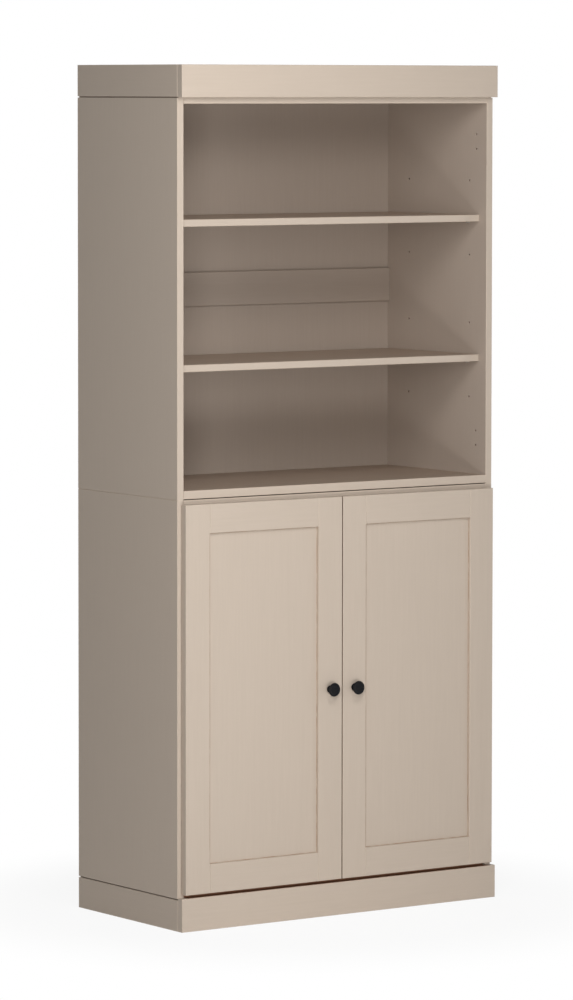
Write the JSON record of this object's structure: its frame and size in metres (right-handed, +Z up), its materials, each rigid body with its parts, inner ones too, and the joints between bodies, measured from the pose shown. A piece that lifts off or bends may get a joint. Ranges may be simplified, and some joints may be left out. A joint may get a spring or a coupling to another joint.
{
  "type": "bookcase with cabinet doors",
  "caption": "Tall open bookcase over a cupboard with framed doors on concealed hinges, adjustable shelves, plinth and crown frames, and dark round knobs.",
  "frame": {"origin": "on the floor, at the middle of the whole footprint, knobs included", "axes": "+Z up, -Y towards the front where the doors are, +X to the right seen from the front"},
  "size_m": [0.83, 0.4212, 1.829],
  "materials": {
    "carcass_wood": "light taupe wood-grain laminate, satin",
    "back_wood": "printed hardboard in the same wood grain, matte",
    "shelf_wood": "light taupe wood-grain laminate, satin",
    "door_wood": "light taupe wood-grain laminate, satin",
    "joint_wood": "plain unfinished hardwood",
    "knob_metal": "dark bronze, satin",
    "hinge_steel": "nickel-plated pressed steel",
    "pin_steel": "plain steel pegs",
    "bumper_rubber": "clear soft rubber"
  },
  "bodies": {
    "carcass": {"board_tenons": "joint_wood", "crown_corner_blocks": "joint_wood", "crown_front": "carcass_wood", "crown_side_left": "carcass_wood", "crown_side_right": "carcass_wood", "door_bumpers": "bumper_rubber", "left_hinge_arms": "hinge_steel", "left_hinge_plates": "hinge_steel", "lower_back_rail": "back_wood", "lower_back_sheet_bottom": "back_wood", "lower_back_sheet_top": "back_wood", "lower_bottom_board": "carcass_wood", "lower_side_left": "carcass_wood", "lower_side_right": "carcass_wood", "lower_top_board": "carcass_wood", "plinth_back": "carcass_wood", "plinth_corner_blocks": "joint_wood", "plinth_front": "carcass_wood", "plinth_side_left": "carcass_wood", "plinth_side_right": "carcass_wood", "right_hinge_arms": "hinge_steel", "right_hinge_plates": "hinge_steel", "shelf_pins": "pin_steel", "stacking_tenons": "joint_wood", "upper_back_rail": "back_wood", "upper_back_sheet_bottom": "back_wood", "upper_back_sheet_top": "back_wood", "upper_bottom_board": "carcass_wood", "upper_side_left": "carcass_wood", "upper_side_right": "carcass_wood", "upper_top_board": "carcass_wood"},
    "left_door": {"left_door_panel": "door_wood", "left_door_rail_bottom": "door_wood", "left_door_rail_top": "door_wood", "left_door_stile_inner": "door_wood", "left_door_stile_outer": "door_wood", "left_hinge_cups": "hinge_steel", "left_knob": "knob_metal"},
    "right_door": {"right_door_panel": "door_wood", "right_door_rail_bottom": "door_wood", "right_door_rail_top": "door_wood", "right_door_stile_inner": "door_wood", "right_door_stile_outer": "door_wood", "right_hinge_cups": "hinge_steel", "right_knob": "knob_metal"},
    "high_shelf": {"upper_shelf_high": "shelf_wood"},
    "low_shelf": {"upper_shelf_low": "shelf_wood"},
    "cabinet_shelf": {"lower_shelf": "shelf_wood"}
  },
  "joints": [
    {"name": "left_door_hinge", "type": "hinge", "parent": "carcass", "child": "left_door", "pos_m": [-0.3994, -0.1879, 0.4912], "axis": [0, 0, -1], "range_deg": [0, 95]},
    {"name": "right_door_hinge", "type": "hinge", "parent": "carcass", "child": "right_door", "pos_m": [0.3994, -0.1879, 0.4912], "axis": [0, 0, 1], "range_deg": [0, 95]},
    {"name": "high_shelf_lift", "type": "slide", "parent": "carcass", "child": "high_shelf", "axis": [0, 0, 1], "range_m": [0, 0.06]},
    {"name": "low_shelf_lift", "type": "slide", "parent": "carcass", "child": "low_shelf", "axis": [0, 0, 1], "range_m": [0, 0.06]},
    {"name": "cabinet_shelf_lift", "type": "slide", "parent": "carcass", "child": "cabinet_shelf", "axis": [0, 0, 1], "range_m": [0, 0.06]}
  ]
}
